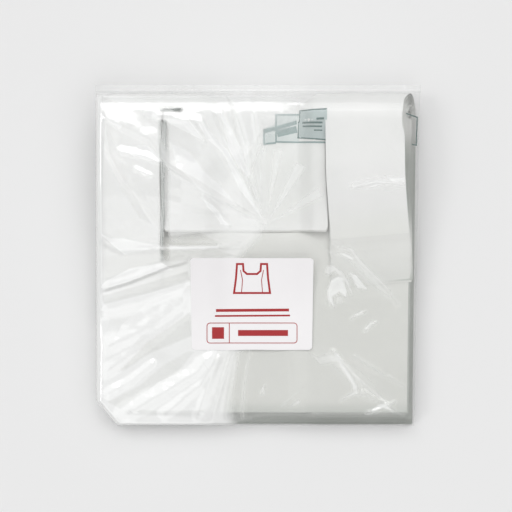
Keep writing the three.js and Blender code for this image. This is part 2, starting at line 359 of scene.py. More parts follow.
def mark(piece, name, where):
    """A share for each point of the piece, from its place in millimetres, for the material to read."""
    places = np.empty(len(piece.data.vertices) * 3)
    piece.data.vertices.foreach_get("co", places)
    shares = where(*(places.reshape(-1, 3) * 1000).T)
    values = piece.data.attributes.new(name, "FLOAT", "POINT")
    values.data.foreach_set("value", shares.astype(np.float32))


ENDS_START, TURNED_TO_FOOT = -60.0, -0.3


def cut_edges(light, deep, ends, foot):
    """Edges of many sheets pressed together: dark lines where they part. Edges that face down the pack
    are coloured by their facing: a paler painted light at the handles' loose ends, and a darker
    painted shade at the foot."""
    material, tree, surface = new_finish("Cut film edges", 0.6)
    link = tree.links.new
    place, facing = add_node(tree, "TexCoord"), add_node(tree, "NewGeometry")
    where, turned = add_node(tree, "SeparateXYZ"), add_node(tree, "SeparateXYZ")
    flat = add_node(tree, "Mapping", Scale=(24.0, 24.0, 1100.0))
    lines = add_node(tree, "TexNoise", Scale=1.0, Detail=2.0)
    sharper = add_node(tree, "MapRange", From_Min=0.4, From_Max=0.6)
    past_foot = math_node(tree, "GREATER_THAN", ENDS_START * 0.001)
    towards_foot = math_node(tree, "LESS_THAN", TURNED_TO_FOOT)
    lit_at_ends, shaded_at_foot = math_node(tree, "MULTIPLY"), math_node(tree, "SUBTRACT")
    lined = colour_mix(tree, light, deep)
    lower, last = colour_mix(tree, second=foot), colour_mix(tree, second=ends)
    link(place.outputs["Object"], flat.inputs["Vector"])
    link(flat.outputs["Vector"], lines.inputs["Vector"])
    link(lines.outputs["Fac"], sharper.inputs["Value"])
    link(sharper.outputs["Result"], lined.inputs["Factor"])
    link(place.outputs["Object"], where.inputs["Vector"])
    link(facing.outputs["True Normal"], turned.inputs["Vector"])
    link(where.outputs["Y"], past_foot.inputs[0])
    link(turned.outputs["Y"], towards_foot.inputs[0])
    link(past_foot.outputs["Value"], lit_at_ends.inputs[0])
    link(towards_foot.outputs["Value"], lit_at_ends.inputs[1])
    link(towards_foot.outputs["Value"], shaded_at_foot.inputs[0])
    link(lit_at_ends.outputs["Value"], shaded_at_foot.inputs[1])
    link(shaded_at_foot.outputs["Value"], lower.inputs["Factor"])
    link(lined.outputs["Result"], lower.inputs["A"])
    link(lit_at_ends.outputs["Value"], last.inputs["Factor"])
    link(lower.outputs["Result"], last.inputs["A"])
    link(last.outputs["Result"], surface.inputs["Base Color"])
    return material


def set_back_margin_shade(x, y, z):
    """Along the right side and the foot each bag reaches a little further than the one on it. These
    set-back edges are painted dark, a painted shade of the stack's sides.
    """
    own = x - lean_at(y, z) - RIGHT_SPLAY * swing_at(y) * (z > middle_z(x))
    side = (0.9 + 0.1 * np.sin(5 * z)) * eased(own, 103, 107) * (1 - 0.95 * eased(y, 72, 94))
    side = side * np.where(z > middle_z(x) + 0.3, eased(y, 12, 40), 1)
    foot = (1 - eased(y, -125.5, -112.5)) * (z < 21.5)
    return np.maximum(side, foot)


# Darker towards the foot than on the handles: partly sheets pressed tight, partly a painted shade.
def stack_pressed_and_shaded(x, y, z):
    return 1 - 0.35 * eased(y, -25, 12)


# The stack's film: clouded, darker where pressed, partly as painted shade, and with a dark painted shade
# along the set-back edges of the right side and the foot.
stack_face = milky_film("Milky film in the stack", ink(244, 244, 242), ink(238, 238, 235),
                        ink(208, 209, 205), ink(160, 165, 158), 0.5, 28.0)
# The third colour is a painted light on the handles' end edges, the fourth a painted shade on the foot's
# edges.
stack_edge = cut_edges(ink(176, 179, 175), ink(104, 112, 106), ink(222, 222, 218), ink(150, 155, 149))

PUNCH_XS = {SLIT_LEFT - HALF_SLIT, SLIT_LEFT + HALF_SLIT, SLIT_LEFT + MOUTH_SLIT,
            SLIT_RIGHT - HALF_SLIT, SLIT_RIGHT + HALF_SLIT}
over_gussets = {*range(-44, -25, 3), *range(26, 45, 3)}
stack_xs = sorted({-110, -102, -94, -80, -8, 10, 66, 88, 110} | over_gussets | PUNCH_XS)
sheets = []
slip = 0.0
for bag in range(BAGS_IN_STACK):
    slip = 0.6 * slip + chance.normal(0, 0.45)
    jump = chance.choice([0, 0, 0, 0.9, -0.8])
    free = 1 if bag < BAGS_IN_STACK - BAGS_HELD_BY_WRAP else 0.25
    slide_x = free * float(np.clip(slip + jump, -1.3, 1.3))
    slide_y = float(np.clip(chance.normal(0, 0.8), -1.2, 1.2))
    share = (bag + 0.4) / (BAGS_IN_STACK + 0.6)
    sheets.append(folded_sheet(stack_xs, STACK_OFF, share, step=9.0, slide=(slide_x, slide_y)))
bag_stack = mesh_piece("bag_stack", *joined(sheets), (stack_face, stack_edge))
mark(bag_stack, "pressed", stack_pressed_and_shaded)
mark(bag_stack, "set_back_shade", set_back_margin_shade)
shell(bag_stack, thickness=0.26, rim=1)
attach(bag_stack, "root")
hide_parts("carrier_bag_stack")

# The innermost bag of the fold: the same milky film, slipped in with the others. Its face is the
# pack's front below the handles. It is painted darker towards the foot, partly for bags pressed
# tight and partly as painted shade, and it sinks between the gussets.
PX = 0.74  # one pixel of the photograph
PACK_PX, PACK_PY = 258, 256  # the pack's middle on the photograph's grid


def on_photo(x, y):
    return x / PX + PACK_PX, PACK_PY - y / PX


def soft_patch(px, py, middle, run, long, wide):
    """1 in the middle of a soft oval patch that lies along run, fading to 0."""
    dx, dy = px - middle[0], py - middle[1]
    along, across = dx * run[0] + dy * run[1], dx * run[1] - dy * run[0]
    return np.exp(-((along / long) ** 2 + (across / wide) ** 2))


def bag_columns(count):
    """Places across a bag: evenly spaced, and at the edges of the punch."""
    even = np.round(np.linspace(-BAG_HALF_WIDTH, BAG_HALF_WIDTH, count), 2)
    return sorted({*even, *PUNCH_XS, SLIT_RIGHT - MOUTH_SLIT})


def over_hollow(x, y):
    """The film spans the hollow between the gussets, except where the tab holds it down."""
    spanned = 15.0 + 3.0 * eased(np.abs(x), 4, 46)
    return np.maximum(0, spanned - leaf_at(x)) * (1 - eased(y, 10, 30))


def front_pressed_and_shaded(x, y, z):
    """Darker towards the foot and most at its right corner: partly film pressed tight, partly a
    painted shade.
    """
    corner = soft_patch(*on_photo(x, y), (400, 398), (1, 0), 34, 26)
    return np.clip(0.8 - 0.22 * eased(y, -25, 15) + 0.35 * corner, 0, 1)


# A painted shade on the front along the foot.
def front_foot_shade(x, y, z):
    return 0.8 * (1 - eased(y, -117, -106))


# The front's film: darker where pressed, partly as painted shade, with a painted shade along the foot.
inner_film = milky_film("Milky film of the front", ink(229, 229, 226), ink(223, 223, 219),
                        ink(205, 206, 201), ink(176, 180, 174), 0.42, 16.0)
inner_sheet = folded_sheet(bag_columns(56), INNER_OFF, share=0.0, step=4.0, bridge=over_hollow)
inner_bag = mesh_piece("inner_bag", *inner_sheet, inner_film)
mark(inner_bag, "pressed", front_pressed_and_shaded)
mark(inner_bag, "set_back_shade", front_foot_shade)
shell(inner_bag, thickness=0.2)
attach(inner_bag, "root")
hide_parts("inner_carrier_bag")

# The outermost bag of the fold: it shows round the fold, on both handles, on the tab pressed down
# between them and on the back. It is the same soft film over a soft stack, and slightly uneven.

def handle_relief(x, y):
    return 0.2 * ripple(x, y, 34, 11) + 0.08 * ripple(x, y, 11, 12)


def handles_pressed_and_shaded(x, y, z):
    """The tab's right half is pressed tight, and the right handle's lower end is painted darker, a
    painted shade where it slopes down to the front.
    """
    px, py = on_photo(x, y)
    on_tab = eased(px, 265, 268) * (1 - eased(px, 325, 327)) * eased(py, 140, 146)
    handle_end_shade = eased(px, 327, 328) * eased(py, 195, 240)
    return np.maximum(0.15 * on_tab, 0.6 * handle_end_shade)


# Darker film where the tab is pressed tight, and a painted shade at the right handle's lower end.
pressed_and_shaded_film = ink(222, 223, 217)
outer_film = milky_film("Milky film of the handles", ink(235, 235, 234), ink(230, 231, 229),
                        pressed_and_shaded_film, pressed_and_shaded_film, 0.4, 20.0)
outer_sheet = folded_sheet(bag_columns(75), OUTER_OFF, share=1.0, step=2.6, relief=handle_relief)
outer_bag = mesh_piece("outer_bag", *outer_sheet, (outer_film, stack_edge))
mark(outer_bag, "pressed", handles_pressed_and_shaded)
shell(outer_bag, thickness=0.3, rim=1)
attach(outer_bag, "root")
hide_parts("outer_carrier_bag")

# The printed frames: green ink on the bags, sharp on the uppermost film and paler where the same
# print shows through milky film. Each is a frame on a tinted ground with a few plain bars, a hair
# above the film that carries it.
PRINT_ABOVE_FILM, PATCH_COLUMNS = 0.6, 8


def print_height(x, y):
    """The top of the outermost bag's tab and fold."""
    own = x - lean_at(y, 24.0)  # a first guess of the height
    risen = np.clip((y - TAB_START) / (FOLD_CENTRE_Y - TAB_START), 0, 1)
    for _ in range(12):
        leaf = tab_leaf(own) + (leaf_at(own) - tab_leaf(own)) * risen
        top = middle_z(own) + OUTER_OFF + np.minimum(leaf_at(own), leaf)
        own = 0.5 * own + 0.5 * (x - 0.7 * RIGHT_SPLAY * swing_at(y) - lean_at(y, top))
    leaf = np.minimum(leaf_at(own), tab_leaf(own) + (leaf_at(own) - tab_leaf(own)) * risen)
    over = np.maximum(0, y - FOLD_CENTRE_Y)
    arc = middle_z(own) + np.sqrt(np.maximum(0, (OUTER_OFF + leaf_at(own)) ** 2 - over**2))
    flat = middle_z(own) + OUTER_OFF + leaf
    return np.where(y > FOLD_CENTRE_Y, arc, flat) + PRINT_ABOVE_FILM


def frame_place(px, py):
    return (px - PACK_PX) * PX, (PACK_PY - py) * PX


def places(*points):
    return [frame_place(*point) for point in points]


def flat_patch(corners, height, lift=0.0):
    """A four-cornered patch of print that follows the film's height."""
    a, b, c, d = [np.array(p, float) for p in corners]
    u, v = np.meshgrid(np.linspace(0, 1, PATCH_COLUMNS), np.linspace(0, 1, PATCH_COLUMNS))
    xy = (a * ((1 - u) * (1 - v))[..., None] + b * (u * (1 - v))[..., None]
          + c * (u * v)[..., None] + d * ((1 - u) * v)[..., None])
    z = height(xy[..., 0], xy[..., 1]) + lift
    return np.dstack([xy, z]).reshape(-1, 3), faces_of(PATCH_COLUMNS, PATCH_COLUMNS, 0)


def stroke(line, width, height, closed=False, lift=0.0, step=2.0):
    """A printed line of even width that follows the film's height."""
    line = [np.array(p, float) for p in line]
    if closed:
        line = line + [line[0]]
    dense = []
    for start, end in zip(line, line[1:]):
        count = max(1, int(np.linalg.norm(end - start) / step))
        dense += [start + (end - start) * i / count for i in range(count)]
    dense = np.array(dense + ([] if closed else [line[-1]]))
    before = np.roll(dense, 1, 0) if closed else np.vstack([dense[:1] * 2 - dense[1:2], dense[:-1]])
    after = np.roll(dense, -1, 0) if closed else np.vstack([dense[1:], dense[-1:] * 2 - dense[-2:-1]])
    one, two = dense - before, after - dense
    one /= np.linalg.norm(one, axis=1)[:, None] + 1e-9
    two /= np.linalg.norm(two, axis=1)[:, None] + 1e-9
    normal = np.stack([-(one + two)[:, 1], (one + two)[:, 0]], axis=1)
    normal /= np.linalg.norm(normal, axis=1)[:, None]
    mitre = (normal * np.stack([-one[:, 1], one[:, 0]], axis=1)).sum(1)
    reach = width / 2 / np.clip(mitre, 0.5, 1)[:, None]
    sides = np.stack([dense + normal * reach, dense - normal * reach], axis=1)
    z = height(sides[..., 0], sides[..., 1]) + lift
    points = np.dstack([sides, z]).reshape(-1, 3)
    count = len(dense)
    faces = [(2 * i, 2 * i + 1, 2 * ((i + 1) % count) + 1, 2 * ((i + 1) % count))
             for i in range(count if closed else count - 1)]
    return points, faces


def ink_grain_group():
    """Fine speckle where ink or coating is thinner."""
    tree = bpy.data.node_groups.new("Ink grain", "ShaderNodeTree")
    sockets(tree, "INPUT", "Color", "Full", "Thin")
    sockets(tree, "INPUT", "Float", "Grain size")
    sockets(tree, "OUTPUT", "Color", "Color")
    given, out = tree.nodes.new("NodeGroupInput"), tree.nodes.new("NodeGroupOutput")
    place, grain, mix = add_node(tree, "TexCoord"), add_node(tree, "TexNoise", Detail=3.0), colour_mix(tree)
    tree.links.new(place.outputs["Object"], grain.inputs["Vector"])
    tree.links.new(given.outputs["Grain size"], grain.inputs["Scale"])
    tree.links.new(grain.outputs["Fac"], mix.inputs["Factor"])
    tree.links.new(given.outputs["Full"], mix.inputs["A"])
    tree.links.new(given.outputs["Thin"], mix.inputs["B"])
    tree.links.new(mix.outputs["Result"], out.inputs["Color"])
    return tree


INK_GRAIN = ink_grain_group()


def printed(name, full, thin, roughness, grain_size=700.0):
    material, tree, surface = new_finish(name, roughness)
    grain = add_node(tree, "Group", INK_GRAIN, Full=full, Thin=thin, Grain_size=grain_size)
    tree.links.new(grain.outputs["Color"], surface.inputs["Base Color"])
    return material


green_line = printed("Green ink", ink(20, 72, 68), ink(52, 100, 95), 0.45)
green_ground = printed("Green tint seen in the film", ink(162, 179, 179), ink(186, 198, 197), 0.45, 90.0)
green_below = printed("Green ink under a film", ink(98, 128, 126), ink(136, 160, 158), 0.5)
pale_ground = printed("Green tint under a film", ink(186, 198, 197), ink(214, 220, 218), 0.5, 90.0)

front_frame = places((299.5, 111.2), (326.5, 109.6), (326.5, 140.4), (298, 138))
front_side = places((300, 111.2), (299.6, 121), (298, 123.5), (298, 138))
second_frame = places((276, 115), (299, 115), (299, 142), (276, 142))
third_frame = places((264, 129), (276, 124), (276, 144), (264, 144))


def print_line(points, width, lift):
    return stroke(points, width, print_height, lift=lift)


print_lines = mesh_piece("print_frame_front", *joined([
    print_line([front_frame[1], *front_side, front_frame[2]], 1.0, 0.12),
    print_line(places((316, 119.6), (323.5, 119.2)), 1.5, 0.1),
    print_line(places((301.5, 123.2), (322, 123.4)), 1.4, 0.1),
    print_line(places((302.5, 126.8), (321.5, 127.2)), 1.2, 0.1),
    print_line(places((313.5, 130.8), (322, 131)), 0.9, 0.1),
]), green_line, weld=False)
front_ground = flat_patch(front_frame, print_height)
print_ground = mesh_piece("print_ground_front", *front_ground, green_ground, weld=False)
print_below = mesh_piece("print_frame_below", *joined([
    print_line([second_frame[1], second_frame[0], second_frame[3], *places((326, 143))], 1.2, 0.06),
    print_line(places((264, 131.5), (276, 128.5), (297, 122.5)), 2.8, 0.05),
    print_line(places((277, 134), (297, 129.5)), 5.0, 0.04),
    print_line([third_frame[0], third_frame[3], *places((276, 143))], 1.2, 0.05),
]), green_below, weld=False)
ground_below = mesh_piece("print_ground_below", *joined([
    flat_patch(second_frame, print_height, lift=-0.03),
    flat_patch(third_frame, print_height, lift=-0.05),
]), pale_ground, weld=False)


def side_height(x, y):
    """A little above the set-back edges on the right side."""
    return 36 - 1.6 * (on_photo(x, y)[0] - 404)


side_frame = places((405.5, 114), (417.5, 117.2), (416.4, 145), (411.5, 144.4))
side_line = stroke(side_frame, 1.0, side_height)
print_gusset = mesh_piece("print_frame_side", *side_line, green_line, weld=False)
for printed_piece in (print_lines, print_ground, print_below, ground_below, print_gusset):
    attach(printed_piece, "root")

# The cut edges of the handles' left slit: the sheets' edges lie side by side there. The dark lines
# between them are painted shade in the gaps, the pale ones painted highlights on edges in the light,
# and the dark end of the cut across the bag's mouth is painted shade too.
slit_shade_ink = printed("Dark between cut edges", ink(128, 134, 130), ink(176, 180, 177), 0.6, 260.0)
edge_white = printed("Film edges in the light", ink(238, 239, 238), ink(226, 228, 226), 0.4, 260.0)
mouth_shade_ink = printed("Dark in the cut across the mouth", ink(70, 80, 76), ink(104, 112, 108), 0.6, 260.0)


def slit_height(x, y):
    """Just above the handle at the slit, and down over the set-back ends below it."""
    reach = OUTER_OFF + SIDE_LEAF * handle_thins(y) - 0.2 * np.clip(5 - y, 0, 12)
    over = np.maximum(0, y - FOLD_CENTRE_Y)
    return middle_z(x) + np.sqrt(np.maximum(0, reach**2 - over**2)) + 0.35


def slit_line(off, width, first, last):
    """One fine line down the slit, at off pixels from its middle, from row first to row last."""
    line = []
    for py in np.linspace(first, last, int((last - first) / 5)):
        spread = 1 - 0.45 * eased(py, 130, 185)
        waver = 0.45 * math.sin(py / 9 + off) + 0.25 * math.sin(py / 3.7 + 2 * off)
        line.append(frame_place(164.0 - 1.9 * (py - 121) / 141 + off * spread + waver * 0.6, py))
    return stroke(line, width * PX, slit_height, lift=0.02 * off)


shaded_gaps = [(-4.0, 0.6, 122, 176), (-2.2, 0.8, 121, 263), (-0.4, 0.7, 124, 262), (1.3, 0.8, 121, 262),
             (2.7, 0.8, 122, 232)]
lit_edges = [(-1.3, 0.6, 123, 258), (0.5, 0.5, 122, 250), (2.0, 0.5, 126, 240)]
slit_shade_bundle = mesh_piece("slit_edge_shades", *joined(slit_line(*gap) for gap in shaded_gaps), slit_shade_ink, weld=False)
slit_whites = mesh_piece("slit_film_edges", *joined(slit_line(*edge) for edge in lit_edges), edge_white,
                         weld=False)
mouth_cut_shade = mesh_piece("mouth_cut_shade", *joined([
    stroke(places((160.5, 111.2), (172, 110.8)), 0.9, slit_height),
    stroke(places((171, 110.9), (181.5, 110.2)), 2.0, slit_height, lift=0.05),
]), mouth_shade_ink, weld=False)
for slit_piece in (slit_shade_bundle, slit_whites, mouth_cut_shade):
    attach(slit_piece, "root")

# The clear overwrap: a bag of thin crisp film, sealed at the foot, that the folded stack is slid
# into. It is drawn tight from the dip over the tab, so that its wrinkles run out from there.
FILM_HALF_WIDTH, FILM_HALF_LENGTH = 120.5, 126.5
OVER_BAGS, FILM_CLEAR = 1.1, 0.5
HOLLOW_FOLLOWED = 0.3  # the tight film sinks by this share into the hollow between the gussets
DIP_HALF_WIDTH = (SLIT_RIGHT - SLIT_LEFT) / 2 - 10
SPANNED_OVER_TAB = 6.4
WRINKLE_SCALE = 0.62
FAN_CENTRE, GATHERED_AT = (262, 225), (263, 223)
LABEL_X, LABEL_Y, LABEL_HALF_WIDTH, LABEL_HALF_HEIGHT = -4.5, -35.5, 45.0, 34.0


def film_under(x, y):
    """The top of the bags under the front film, with the dip over the tab."""
    flap = eased(y - 0.08 * x, -48, 68)
    own = x - lean_at(y, SIDE_REACH * (1 + flap)) - RIGHT_SPLAY * swing_at(y) * flap
    full = eased(np.abs(own), 20.0, 40.0)
    hollow = HOLLOW_FOLLOWED * (SIDE_LEAF - MIDDLE_LEAF)
    lower = SIDE_REACH - hollow * (1 - full)
    across = np.clip((own - TAB_MIDDLE) / DIP_HALF_WIDTH, -1, 1)
    tab_under = MIDDLE_LEAF + AROUND_LEAF
    deepest = 2 * SIDE_REACH - hollow - tab_under - (TAB_LEAF + AROUND_LEAF) - SPANNED_OVER_TAB
    dip = deepest * (1 - eased(y, TAB_START - 35, TAB_START - 5))
    upper = SIDE_REACH - dip * (1 - across**2) ** 2
    return OVER_BAGS + lower + upper * flap


# Each wrinkle of the film: its crest on the photograph's grid, how wide it is to the left and to
# the right of its run, and its height.
WRINKLES = [
    (((104, 97), (128, 101), (150, 109), (172, 113)), 9, 9, 2.0),
    (((158, 117), (187, 122), (204, 142)), 7, 5, 1.7),
    (((187, 119), (201, 122), (209, 136), (222, 150), (245, 185), (262, 212)), 4, 8, 1.5),
    (((218, 112), (235, 145), (249, 174), (260, 205)), 5, 5, 1.4),
    (((212, 94), (214, 110), (226, 140), (250, 190)), 4, 4, 1.0),
    (((106, 119), (124, 128), (150, 141), (168, 165), (205, 190), (240, 211), (260, 222)), 19, 6, 2.3),
    (((122, 153), (148, 158), (158, 163)), 8, 4, 1.9),
    (((137, 170), (152, 176)), 4, 4, 1.0),
    (((203, 197), (220, 213), (229, 225)), 5, 4, 1.3),
    (((106, 122), (111, 155), (125, 182), (145, 203), (162, 228)), 13, 6, 1.3),
    (((150, 196), (190, 206), (240, 217)), 6, 6, 0.9),
    (((232, 100), (247, 150), (259, 200)), 5, 4, 1.0),
    (((252, 98), (258, 150), (262, 205)), 4, 4, 0.9),
    (((102, 240), (120, 250), (150, 249), (217, 247), (240, 247)), 9, 6, 1.8),
    (((97, 291), (130, 281), (168, 266), (200, 258)), 11, 4, 3.2),
    (((97, 312), (140, 302), (190, 286), (225, 268)), 12, 10, 1.8),
    (((100, 350), (150, 326), (200, 292)), 20, 17, 2.4),
    (((100, 375), (150, 341), (195, 306)), 14, 10, 1.7),
    (((108, 394), (130, 382), (153, 363)), 8, 6, 1.9),
    (((128, 414), (160, 395), (198, 372), (214, 350)), 16, 11, 2.6),
    (((165, 414), (200, 385), (224, 350)), 10, 9, 1.6),
    (((196, 420), (208, 385), (222, 350)), 6, 6, 1.3),
    (((212, 420), (222, 385), (233, 350)), 5, 4, 1.4),
    (((228, 419), (234, 385), (241, 350)), 5, 4, 1.4),
    (((242, 416), (244, 385), (250, 351)), 5, 5, 1.3),
    (((106, 423), (180, 422), (252, 420)), 5, 4, 1.4),
    (((355, 187), (375, 182), (394, 184)), 10, 4, 2.1),
    (((384, 190), (407, 188)), 4, 3, 1.0),
    (((333, 243), (350, 256), (372, 275), (398, 304)), 5, 8, 0.9),
    (((326, 250), (345, 258), (366, 263)), 3, 4, 0.8),
    (((329, 300), (332, 284), (340, 279)), 5, 9, 1.6),
    (((350, 274), (358, 280), (366, 289)), 4, 5, 1.4),
    (((351, 319), (367, 311)), 3, 3, 0.9),
    (((365, 331), (377, 322)), 4, 3, 1.2),
    (((334, 352), (350, 372), (362, 392)), 5, 9, 1.1),
    (((362, 392), (385, 404), (404, 416)), 6, 8, 1.1),
    (((355, 357), (380, 372), (403, 385)), 5, 8, 0.8),
    (((367, 414), (382, 409), (395, 402)), 5, 3, 1.4),
    (((262, 394), (266, 384)), 3, 3, 0.9),
    (((283, 406), (303, 387)), 3, 3, 0.9),
    (((341, 401), (360, 386)), 3, 3, 0.9),
    (((266, 222), (283, 180), (302, 146)), 10, 12, 0.3),
    (((268, 222), (296, 185), (324, 160)), 12, 12, 0.3),
    (((270, 224), (300, 208), (326, 196)), 10, 12, 0.35),
]


# The film is crisp, so that between the wrinkles it stands in flat facets. The first number is how
# much more or less each stands off the bags; above zero it is a painted highlight, below zero a
# painted shade, and its corners are on the photograph's grid.
PAINTED_LIGHT_FACETS = [
    (0.84, ((104, 97), (130, 98), (156, 106), (142, 111), (124, 106))),
    (0.95, ((142, 113), (156, 108), (166, 112), (186, 117), (204, 141), (186, 132), (165, 121), (148, 118))),
    (0.84, ((187, 118), (202, 121), (211, 134), (226, 150), (222, 152), (206, 138), (199, 124))),
    (0.7, ((222, 150), (227, 150), (246, 186), (262, 218), (240, 190))),
    (0.84, ((221, 113), (226, 121), (240, 148), (249, 178), (238, 166), (229, 148))),
    (0.5, ((243, 138), (248, 146), (251, 176), (246, 176))),
    (0.56, ((172, 144), (190, 153), (206, 174), (220, 185), (238, 207), (225, 203), (200, 190), (178, 168))),
    (0.84, ((106, 119), (114, 117), (123, 127), (120, 130))),
    (0.95, ((124, 149), (146, 146), (153, 150), (165, 163), (150, 161), (135, 157))),
    (0.84, ((137, 169), (143, 169), (152, 175), (145, 176))),
    (0.95, ((204, 200), (213, 206), (219, 212), (223, 220), (229, 225), (221, 224), (215, 214), (208, 207))),
    (0.95, ((103, 235), (112, 239), (124, 239), (142, 243), (160, 246), (140, 251), (125, 254), (115, 246))),
    (0.84, ((98, 289), (108, 281), (130, 269), (162, 263), (172, 269), (150, 273), (125, 282))),
    (0.49, ((112, 350), (122, 326), (150, 302), (186, 287), (162, 317), (140, 336), (118, 360))),
    (0.7, ((111, 346), (120, 349), (117, 358))),
    (0.95, ((100, 386), (125, 376), (142, 368), (151, 364), (147, 374), (130, 382), (112, 388))),
    (0.95, ((128, 408), (145, 395), (160, 382), (182, 373), (190, 367), (203, 365), (206, 370), (198, 386),
           (188, 379), (170, 388), (150, 402), (134, 412))),
    (0.7, ((208, 351), (216, 351), (209, 368), (205, 362))),
    (0.8, ((357, 188), (371, 181), (387, 178), (404, 185), (386, 184), (370, 188))),
    (0.84, ((157, 246), (186, 247.2), (218, 246), (218, 248), (186, 249.6), (157, 248.6))),
    (-0.6, ((165, 236), (174, 243), (217, 244), (217, 246), (172, 245.4), (163, 238))),
    (0.3, ((331, 243), (343, 247.5), (351, 247.5), (362, 262), (390, 291), (360, 264), (349, 250))),
    (0.45, ((336, 252), (344, 253), (353, 258), (352, 260), (343, 256))),
    (0.3, ((336, 354), (352, 374), (386, 404), (389, 404), (354, 373))),
    (0.2, ((352, 354), (376, 369), (404, 388), (376, 371))),
    (-0.45, ((118, 372), (148, 342), (190, 312), (192, 336), (150, 353), (126, 369))),
    (-0.3, ((108, 402), (140, 385), (162, 366), (188, 351), (194, 352), (176, 374), (140, 395), (120, 409))),
    (-0.35, ((100, 296), (140, 285), (188, 271), (190, 280), (150, 293), (104, 304))),
    (-0.35, ((238, 170), (262, 130), (262, 200), (252, 196))),
    (-0.3, ((166, 236), (200, 233), (222, 244), (176, 245))),
    (-0.3, ((164, 252), (215, 249), (236, 256), (190, 260), (166, 262))),
    (0.9, ((327, 291), (331, 280), (338, 276), (343, 279), (347, 292), (346, 297), (339, 292), (332, 297),
           (334, 307), (328, 300))),
    (0.3, ((336, 296), (341, 296), (343, 303), (335, 304))),
    (0.5, ((324, 273), (327, 266), (333, 265), (342, 272), (349, 282), (352, 295), (345, 282), (334, 271),
           (329, 275))),
    (0.75, ((349, 272), (356, 275), (367, 289), (357, 288))),
    (0.5, ((351, 318), (362, 310), (364, 314))),
    (0.6, ((365, 328), (371, 321), (374, 322), (367, 330))),
    (0.35, ((308, 352), (318, 357), (335, 354), (338, 361), (320, 364))),
    (0.6, ((334, 353), (338, 354), (345, 366), (357, 386), (358, 394), (342, 399), (353, 392), (352, 385),
           (340, 366))),
    (0.9, ((369, 413), (378, 405), (385, 403), (393, 411), (383, 408))),
    (0.5, ((260, 393), (264, 384), (265, 394))),
    (0.5, ((289, 407), (300, 399), (299, 404))),
    (-0.55, ((166, 163), (200, 181), (240, 206), (262, 219), (260, 222), (236, 210), (198, 187), (166, 168))),
    (-0.3, ((107, 126), (119, 150), (129, 185), (152, 224), (140, 218), (117, 180), (105, 145))),
    (-0.28, ((130, 408), (160, 411), (205, 410), (196, 417), (160, 415.5), (128, 414))),
    (0.9, ((384, 176.5), (404, 178), (404, 183), (391, 181.5))),
    (0.35, ((266, 220), (274, 152), (282, 150))),
    (0.35, ((268, 222), (296, 163), (305, 168))),
    (0.3, ((270, 223), (318, 187), (323, 197))),
    (0.45, ((98, 309), (126, 300), (165, 289), (190, 282), (190, 284.5), (165, 292), (126, 303), (99, 312))),
    (0.4, ((100, 317), (109, 319), (104, 332), (101, 345))),
    (-0.35, ((226, 96), (236, 108), (238, 150), (232, 120))),
    (-0.3, ((252, 420), (236, 400), (236, 352), (246, 352), (247, 398))),
]


def facet_share(x, y, corners):
    """Distance inside the facet's outline, in pixels, negative outside it."""
    px, py = on_photo(x, y)
    nearest = np.full(px.shape, 1e9)
    inside = np.zeros(px.shape, bool)
    for (x0, y0), (x1, y1) in zip(corners, corners[1:] + corners[:1]):
        run = (x1 - x0) ** 2 + (y1 - y0) ** 2
        along = np.clip(((px - x0) * (x1 - x0) + (py - y0) * (y1 - y0)) / run, 0, 1)
        nearest = np.minimum(nearest, np.hypot(px - x0 - along * (x1 - x0), py - y0 - along * (y1 - y0)))
        if y0 != y1:
            inside ^= ((y0 > py) != (y1 > py)) & (px < (x1 - x0) * (py - y0) / (y1 - y0) + x0)
    return np.where(inside, nearest, -nearest)


def wrinkle_relief(x, y):
    total = np.zeros_like(x)
    for crest, left_reach, right_reach, high in WRINKLES:
        crest = places(*crest)
        lengths = [math.hypot(b[0] - a[0], b[1] - a[1]) for a, b in zip(crest, crest[1:])]
        nearest = np.full(x.shape, 1e9)
        value = np.zeros_like(x)
        before = 0.0
        for (x0, y0), (x1, y1), run in zip(crest, crest[1:], lengths):
            ux, uy = (x1 - x0) / run, (y1 - y0) / run
            along = (x - x0) * ux + (y - y0) * uy
            side = -(x - x0) * uy + (y - y0) * ux
            over = along - np.clip(along, 0, run)
            away = np.hypot(side, over)
            share = (before + np.clip(along, 0, run)) / sum(lengths)
            reach = PX * np.where(side > 0, left_reach, right_reach) * (1 - 0.35 * share)
            closer = away < nearest
            nearest = np.where(closer, away, nearest)
            tent = np.clip(1 - away / reach, 0, 1)
            profile = 0.5 * tent + 0.5 * tent * tent * (3 - 2 * tent)
            value = np.where(closer, WRINKLE_SCALE * high * (1 - 0.25 * share) * profile, value)
            before += run
        total = np.maximum(total, value) + 0.35 * np.minimum(total, value)
    return total


def fan_relief(x, y):
    """Fine creases that run out from the dip over the tab, more of them to the left."""
    cx, cy = frame_place(*FAN_CENTRE)
    dx, dy = x - cx, y - cy
    far = np.hypot(dx, dy)
    turn = np.arctan2(dy, dx)
    pick = np.random.default_rng(23)
    total = np.zeros_like(x)
    for _ in range(24):
        heading = pick.uniform(-math.pi, math.pi)
        narrow = pick.uniform(0.04, 0.09)
        first, last = pick.uniform(8, 40), pick.uniform(60, 150)
        off = np.abs((turn - heading + math.pi) % (2 * math.pi) - math.pi)
        reach = eased(far, first, first + 25) * (1 - eased(far, last - 30, last + 15))
        left_side = np.where(math.cos(heading) < 0.25, 1.0, 0.35)
        total = total + left_side * pick.uniform(0.15, 0.45) * np.exp(-off / narrow) * reach
    return total


def under_label(x, y):
    dx = np.maximum(0, np.abs(x - LABEL_X) - LABEL_HALF_WIDTH)
    dy = np.maximum(0, np.abs(y - LABEL_Y) - LABEL_HALF_HEIGHT)
    return 1 - eased(np.hypot(dx, dy), 0.0, 7.0)


